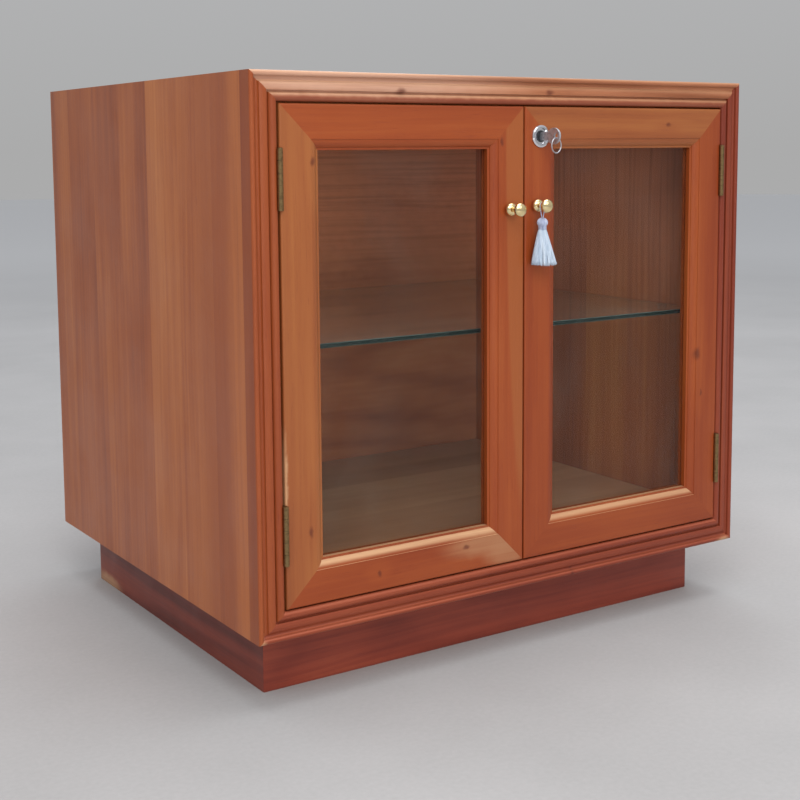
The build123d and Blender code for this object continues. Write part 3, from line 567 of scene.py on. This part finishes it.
def thread_paint(name, tones, twist):
    """Silky thread: twisted fibres, sheen and uneven dye; twist is the fibres' spacing in millimetres."""
    paint = Paint(name)
    fibre = paint.add(
        "ShaderNodeTexWave",
        {"wave_type": "BANDS", "bands_direction": "DIAGONAL"},
        Vector=paint.place,
        Scale=1.0 / (twist * MM) / 2.0,
        Distortion=2.0,
        Detail=2.0,
    ).outputs["Fac"]
    dye = paint.noise(paint.stretch(paint.place, (420.0, 420.0, 30.0)), detail=3.0)
    tone = paint.math("MULTIPLY_ADD", fibre, 0.25, paint.math("MULTIPLY", dye, 0.9), clamp=True)
    colour = paint.ramp(tone, list(zip((0.25, 0.5, 0.8), tones)))
    # Painted shade: the colour darkens towards the darkest tone between threads, where the AO node finds them
    # close.
    shade = paint.add("ShaderNodeAmbientOcclusion", {"samples": 6}, Distance=0.0012)
    colour = paint.mix(paint.remap(shade.outputs["AO"], 0.2, 0.9, 0.45, 0.0), colour, tones[0])
    paint.bump(fibre, 0.00005, 0.6)
    return paint.finish(
        Base_Color=colour,
        Roughness=paint.remap(dye, 0.3, 0.7, 0.42, 0.58),
        Sheen_Weight=0.35,
        Sheen_Roughness=0.4,
    )


def tube(mesh, points, radius, sides=5):
    """Add a closed tube of that radius along points to a bmesh."""
    rings = []
    for index, point in enumerate(points):
        before = points[max(index - 1, 0)]
        after = points[min(index + 1, len(points) - 1)]
        run = (after - before).normalized()
        level = abs(run.z) < 0.2
        side = run.orthogonal().normalized() if level else run.cross(Vector((0.0, 1.0, 0.0))).normalized()
        other = run.cross(side)
        ring = []
        for step in range(sides):
            angle = 2.0 * math.pi * step / sides
            ring.append(mesh.verts.new(point + (side * math.cos(angle) + other * math.sin(angle)) * radius))
        rings.append(ring)
    for low, high in zip(rings, rings[1:]):
        for step in range(sides):
            mesh.faces.new((low[step], low[(step + 1) % sides], high[(step + 1) % sides], high[step]))
    mesh.faces.new(list(reversed(rings[0])))
    mesh.faces.new(rings[-1])


def piece(name, mesh, material):
    """Turn a bmesh into an object of the tassel's body."""
    data = bpy.data.meshes.new(name)
    bmesh.ops.recalc_face_normals(mesh, faces=mesh.faces)
    mesh.to_mesh(data)
    mesh.free()
    for face in data.polygons:
        face.use_smooth = True
    data.materials.append(material)
    thing = bpy.data.objects.new(name, data)
    bpy.context.scene.collection.objects.link(thing)
    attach(thing, "tassel")
    return thing


def tassel_point(x, y, z):
    """A point in millimetres from the knob's axis, in the row frame."""
    return KNOB_AXIS + Vector((x, y, z)) * MM


def skirt_point(angle, share, drop):
    """A point of the skirt: angle round it, share of its half width, drop from 0 (top) to 1 (foot)."""
    flare = drop ** 0.92
    half_x = 3.6 + (15.6 - 3.6) * flare
    half_y = 3.5 + (9.0 - 3.5) * flare
    lean = 2.4 * drop ** 1.4
    z = HEAD_BOTTOM + (SKIRT_BOTTOM - HEAD_BOTTOM) * drop
    return Vector((lean + half_x * share * math.cos(angle), half_y * share * math.sin(angle), z))


def make_skirt(material):
    """Separate threads hanging from the bound neck, some of them crossing and ending unevenly."""
    dice = random.Random(SEED)
    mesh = bmesh.new()
    for number in range(SKIRT_THREADS):
        outer = number < SKIRT_THREADS * 0.62
        angle = 2.0 * math.pi * number * 0.618034 + dice.uniform(-0.05, 0.05)
        share = dice.uniform(0.93, 1.0) if outer else math.sqrt(dice.uniform(0.02, 0.8))
        drift = dice.uniform(-0.10, 0.10)
        end = dice.uniform(0.95, 1.0) - 0.02 * math.cos(2.0 * angle)
        wave = dice.uniform(0.1, 0.45)
        phase = dice.uniform(0.0, 6.28)
        points = []
        steps = 10
        for step in range(steps + 1):
            drop = end * step / steps
            point = skirt_point(angle + drift * drop, share, drop)
            sway = wave * math.sin(phase + 5.0 * drop) * drop
            x = point.x + sway * math.sin(angle)
            y = point.y - sway * math.cos(angle)
            points.append(tassel_point(x, y, point.z))
        tube(mesh, points, THREAD_RADIUS * dice.uniform(0.85, 1.1) * MM, 5)
    return piece("tassel_skirt_threads", mesh, material)


def head_radius(z):
    """The head's outline: a small dome over a ball, pulled in at the bound neck."""
    share = (HEAD_TOP - z) / (HEAD_TOP - HEAD_BOTTOM)
    ball = math.sqrt(max(0.0, 1.0 - ((share - 0.42) / 0.47) ** 2))
    return max(5.5 * ball, 1.4 if share < 0.3 else 3.7)


def make_head(material):
    """Folded threads over a ball, and the thread wound round its neck."""
    dice = random.Random(SEED + 1)
    mesh = bmesh.new()
    folds = 46
    for number in range(folds):
        angle = 2.0 * math.pi * number / folds
        points = []
        steps = 12
        for step in range(steps + 1):
            z = HEAD_TOP + (HEAD_BOTTOM - 0.6 - HEAD_TOP) * step / steps
            radius = head_radius(z) - 0.30
            turn = angle + 0.10 * math.sin(3.0 * step / steps)
            points.append(tassel_point(radius * math.cos(turn), radius * math.sin(turn), z))
        tube(mesh, points, 0.40 * dice.uniform(0.92, 1.08) * MM, 6)
    core = []
    for step in range(13):
        z = HEAD_TOP + (HEAD_BOTTOM - HEAD_TOP) * step / 12
        core.append((max(head_radius(z) - 0.45, 0.3), z))
    add_lathe(mesh, core, 32)
    winding = []
    for step in range(WRAPS * 24 + 1):
        turns = step / 24
        angle = 2.0 * math.pi * turns
        z = HEAD_BOTTOM + 2.9 - 0.52 * turns
        radius = 4.05 + 0.12 * math.sin(turns * 2.1)
        winding.append(tassel_point(radius * math.cos(angle), radius * math.sin(angle), z))
    tube(mesh, winding, 0.31 * MM, 6)
    return piece("tassel_head_threads", mesh, material)


def add_lathe(mesh, outline, sides):
    """A closed turned form from (radius, z) points in millimetres about the tassel's axis."""
    rings = []
    for radius, z in outline:
        ring = []
        for step in range(sides):
            angle = 2.0 * math.pi * step / sides
            ring.append(mesh.verts.new(tassel_point(radius * math.cos(angle), radius * math.sin(angle), z)))
        rings.append(ring)
    for low, high in zip(rings, rings[1:]):
        for step in range(sides):
            mesh.faces.new((low[step], low[(step + 1) % sides], high[(step + 1) % sides], high[step]))
    mesh.faces.new(list(reversed(rings[0])))
    mesh.faces.new(rings[-1])


def make_loop(material):
    """The thread that goes from the head round the knob's neck and back."""
    data = bpy.data.curves.new("tassel_loop_thread", "CURVE")
    data.dimensions = "3D"
    data.bevel_depth = LOOP_RADIUS * MM
    data.bevel_resolution = 4
    data.resolution_u = 16
    data.use_fill_caps = True
    spline = data.splines.new("NURBS")
    spline.points.add(len(LOOP_POINTS) - 1)
    for point, (x, z) in zip(spline.points, LOOP_POINTS):
        point.co = (*tassel_point(x, 0.0, z), 1.0)
    spline.order_u = 3
    spline.use_endpoint_u = True
    data.materials.append(material)
    thing = bpy.data.objects.new("tassel_loop_thread", data)
    bpy.context.scene.collection.objects.link(thing)
    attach(thing, "tassel")
    return thing


def make_tassel():
    """The tassel on the right-hand knob."""
    pale = thread_paint("tassel_pale_thread", PALE_THREAD, THREAD_TWIST)
    blue = thread_paint("tassel_bound_thread", BOUND_THREAD, THREAD_TWIST)
    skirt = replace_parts(make_skirt(pale), "tassel_skirt")
    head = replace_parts(make_head(blue), "tassel_head")
    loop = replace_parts(make_loop(blue), "tassel_loop")


# ---------------------------------------------------------------- softened edges
def soften(width, *names):
    """Round the sharp edges of CAD boards a little."""
    for name in names:
        thing = nodes[name]
        weld = thing.modifiers.new("weld", "WELD")
        weld.merge_threshold = 0.00001
        bevel = thing.modifiers.new("bevel", "BEVEL")
        bevel.width = width * MM
        bevel.segments = 3
        bevel.limit_method = "ANGLE"
        bevel.angle_limit = math.radians(40.0)
        bevel.harden_normals = True


def soften_boards():
    """Sanded edges on the carcass and plinth, and ground edges on the shelf."""
    soften(0.7, "left_side_panel", "right_side_panel", "top_panel")
    soften(0.5, "plinth_front", "plinth_back", "plinth_left", "plinth_right", "back_panel", "bottom_panel")
    soften(0.4, "glass_shelf")


# ---------------------------------------------------------------- floor and light
def make_floor():
    """A plain pale floor, wide enough to meet the pale world at the horizon."""
    paint = Paint("pale_floor")
    cloud = paint.noise(paint.place, 2.2, 5.0, 0.6)
    grit = paint.noise(paint.place, 180.0, 3.0, 0.6)
    tone = paint.math("MULTIPLY_ADD", grit, 0.3, paint.math("MULTIPLY", cloud, 0.7))
    colour = paint.ramp(tone, [(0.3, srgb(164, 163, 163)), (0.7, srgb(180, 179, 179))])
    distance = paint.vector("LENGTH", paint.place, result="Value")
    colour = paint.mix(paint.remap(distance, 1.5, 6.0), colour, srgb(212, 212, 212))
    paint.bump(grit, 0.0004, 0.3)
    material = paint.finish(Base_Color=colour, Roughness=0.85)
    mesh = bmesh.new()
    bmesh.ops.create_circle(mesh, cap_ends=True, radius=14.0, segments=96)
    data = bpy.data.meshes.new("floor")
    mesh.to_mesh(data)
    mesh.free()
    data.materials.append(material)
    floor = bpy.data.objects.new("floor", data)
    bpy.context.scene.collection.objects.link(floor)


def make_world():
    """A pale soft sky, brighter overhead."""
    world = bpy.data.worlds.new("studio")
    world.use_nodes = True
    tree = world.node_tree
    place = tree.nodes.new("ShaderNodeTexCoord")
    parts = tree.nodes.new("ShaderNodeSeparateXYZ")
    ramp = tree.nodes.new("ShaderNodeValToRGB")
    tree.links.new(place.outputs["Generated"], parts.inputs["Vector"])
    tree.links.new(parts.outputs["Z"], ramp.inputs["Fac"])
    ramp.color_ramp.elements[0].position = 0.0
    ramp.color_ramp.elements[0].color = srgb(206, 206, 206)
    ramp.color_ramp.elements[1].position = 0.75
    ramp.color_ramp.elements[1].color = srgb(246, 249, 255)
    background = tree.nodes["Background"]
    tree.links.new(ramp.outputs["Color"], background.inputs["Color"])
    background.inputs["Strength"].default_value = 0.66
    bpy.context.scene.world = world


def area_light(name, place, target, size, power, colour=(1.0, 1.0, 1.0)):
    """A round soft light at one place, turned to another."""
    data = bpy.data.lights.new(name, "AREA")
    data.shape = "DISK"
    data.size = size
    data.energy = power
    data.color = colour
    light = bpy.data.objects.new(name, data)
    light.location = place
    light.rotation_mode = "QUATERNION"
    light.rotation_quaternion = (Vector(target) - Vector(place)).to_track_quat("-Z", "Y")
    bpy.context.scene.collection.objects.link(light)
    return light


def make_lights():
    """Soft light from above and the front, and a weaker one from behind.

    The low light reaches under the top panel. It is left out of reflections, or a pane would show its edge.
    """
    area_light("key_light", (-1.4, -2.0, 2.3), (0.0, 0.0, 0.3), 1.8, 32.0, (1.0, 0.985, 0.96))
    area_light("front_light", (0.1, -2.6, 2.1), (0.0, 0.0, 0.3), 2.0, 12.0, (1.0, 0.985, 0.96))
    low = area_light("low_light", (-1.0, -2.7, 0.5), (0.1, 0.0, 0.45), 1.3, 30.0, (1.0, 0.97, 0.93))
    low.visible_glossy = False
    low.visible_transmission = False
    area_light("top_light", (0.2, -0.2, 3.2), (0.0, 0.0, 0.3), 2.4, 52.0)
    area_light("rear_light", (1.6, 2.2, 2.0), (0.0, 0.0, 0.3), 1.6, 14.0, (0.96, 0.98, 1.0))


make_camera()
make_tassel()
wood_case()
wood_moulding()
wood_doors()
wood_plinth()
glazing()
metalwork()
soften_boards()
make_floor()
make_world()
make_lights()
bpy.context.scene.view_settings.view_transform = "Standard"
